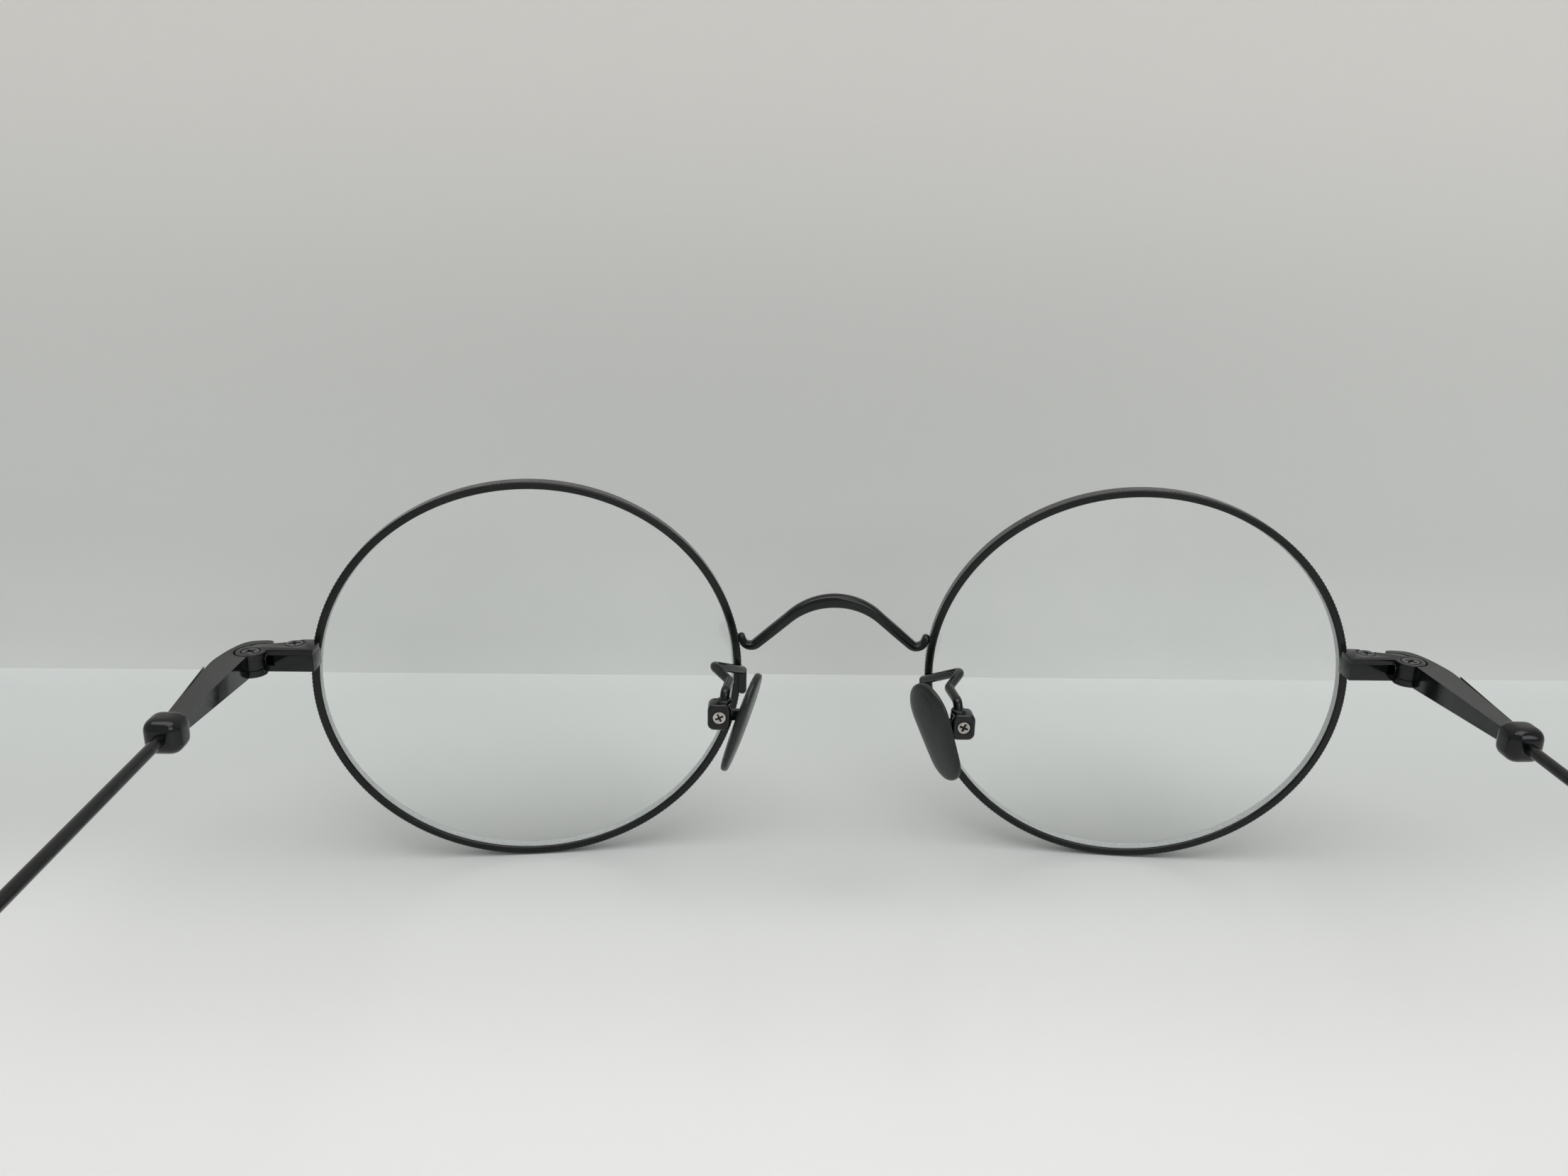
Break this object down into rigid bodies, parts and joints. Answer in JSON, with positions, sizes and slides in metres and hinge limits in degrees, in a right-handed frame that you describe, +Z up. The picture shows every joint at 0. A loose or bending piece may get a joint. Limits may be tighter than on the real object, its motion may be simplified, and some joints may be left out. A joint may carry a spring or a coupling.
{
  "type": "round wire eyeglasses",
  "caption": "Round wire eyeglasses with folding temples, gooseneck rocking nose pads and an arched bridge.",
  "frame": {"origin": "on the surface the glasses stand on, under the middle of their box", "axes": "+X towards the wearer's left, +Y back along the temples, +Z up"},
  "size_m": [0.1304, 0.1396, 0.0438],
  "materials": {
    "black_frame": "satin black plated metal",
    "black_screw": "semi-gloss black",
    "silver_screw": "bright turned steel",
    "nose_pad": "dark smoke grey, satin face and glossy edge",
    "clear_lens": "clear polished",
    "moulded_tip": "polished black"
  },
  "bodies": {
    "front": {"bridge": "black_frame", "rim_left": "black_frame", "rim_right": "black_frame", "lens_left": "clear_lens", "lens_right": "clear_lens", "endpiece_upper_left": "black_frame", "endpiece_upper_right": "black_frame", "endpiece_lower_left": "black_frame", "endpiece_lower_right": "black_frame", "lock_screw_left": "black_screw", "lock_screw_right": "black_screw", "hinge_screw_left": "black_screw", "hinge_screw_right": "black_screw", "pad_arm_left": "black_frame", "pad_arm_right": "black_frame", "pad_box_left": "black_frame", "pad_box_right": "black_frame", "pad_screw_left": "silver_screw", "pad_screw_right": "silver_screw"},
    "temple_left": {"temple_arm_left": "black_frame", "temple_collar_left": "black_frame", "temple_wire_left": "black_frame", "temple_tip_left": "moulded_tip"},
    "nose_pad_left": {"pad_left": "nose_pad", "pad_mount_left": "black_frame"},
    "temple_right": {"temple_arm_right": "black_frame", "temple_collar_right": "black_frame", "temple_wire_right": "black_frame", "temple_tip_right": "moulded_tip"},
    "nose_pad_right": {"pad_right": "nose_pad", "pad_mount_right": "black_frame"}
  },
  "joints": [
    {"name": "temple_fold_left", "type": "hinge", "parent": "front", "child": "temple_left", "pos_m": [0.06212, -0.05991, 0.0255], "axis": [0, 0, 1], "range_deg": [0, 90]},
    {"name": "temple_fold_right", "type": "hinge", "parent": "front", "child": "temple_right", "pos_m": [-0.06212, -0.05991, 0.0255], "axis": [0, 0, -1], "range_deg": [0, 85]},
    {"name": "pad_rock_left", "type": "hinge", "parent": "front", "child": "nose_pad_left", "pos_m": [0.01275, -0.05496, 0.02205], "axis": [0, 1, 0], "range_deg": [-5, 5]},
    {"name": "pad_rock_right", "type": "hinge", "parent": "front", "child": "nose_pad_right", "pos_m": [-0.01275, -0.05496, 0.0211], "axis": [0, 1, 0], "range_deg": [-5, 5]}
  ]
}
